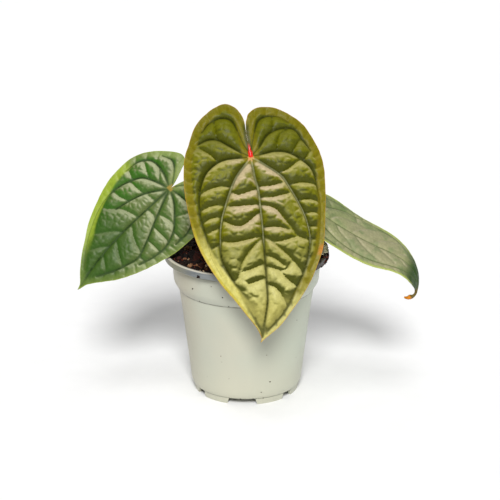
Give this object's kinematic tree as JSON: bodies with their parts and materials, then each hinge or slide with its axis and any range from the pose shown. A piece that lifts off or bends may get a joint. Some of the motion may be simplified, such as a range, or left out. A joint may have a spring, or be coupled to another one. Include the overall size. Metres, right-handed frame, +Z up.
{
  "type": "potted anthurium",
  "caption": "Potted anthurium with heart-shaped quilted leaves on bent stalks, in a round nursery pot filled with bark mix.",
  "frame": {"origin": "middle of the whole plant's footprint, on the surface that the pot stands on; the pot's own axis is 3.4 mm towards -X and 12 mm towards +Y of it", "axes": "+X to the viewer's right facing the front leaf, +Y away from the viewer, +Z up"},
  "size_m": [0.2495, 0.1447, 0.2162],
  "materials": {
    "pot": "satin, slightly translucent off-white plastic with dirt specks and a grey lip",
    "soil": "rough, damp bark and peat mix",
    "stem": "dull, ringed with leaf scars",
    "petiole": "smooth, satin",
    "young_leaf": "glossy, quilted, olive and bronze",
    "mature_leaf": "satin, quilted, mid green",
    "pale_leaf": "satin, pale grey-green",
    "moss": "rough, gritty"
  },
  "bodies": {
    "root": {"pot": "pot", "soil": "soil", "stem": "stem", "petiole_front": "petiole", "petiole_left": "petiole", "petiole_right": "petiole", "leaf_front": "young_leaf", "leaf_left": "mature_leaf", "leaf_right": "pale_leaf", "moss_clump": "moss"}
  },
  "joints": []
}
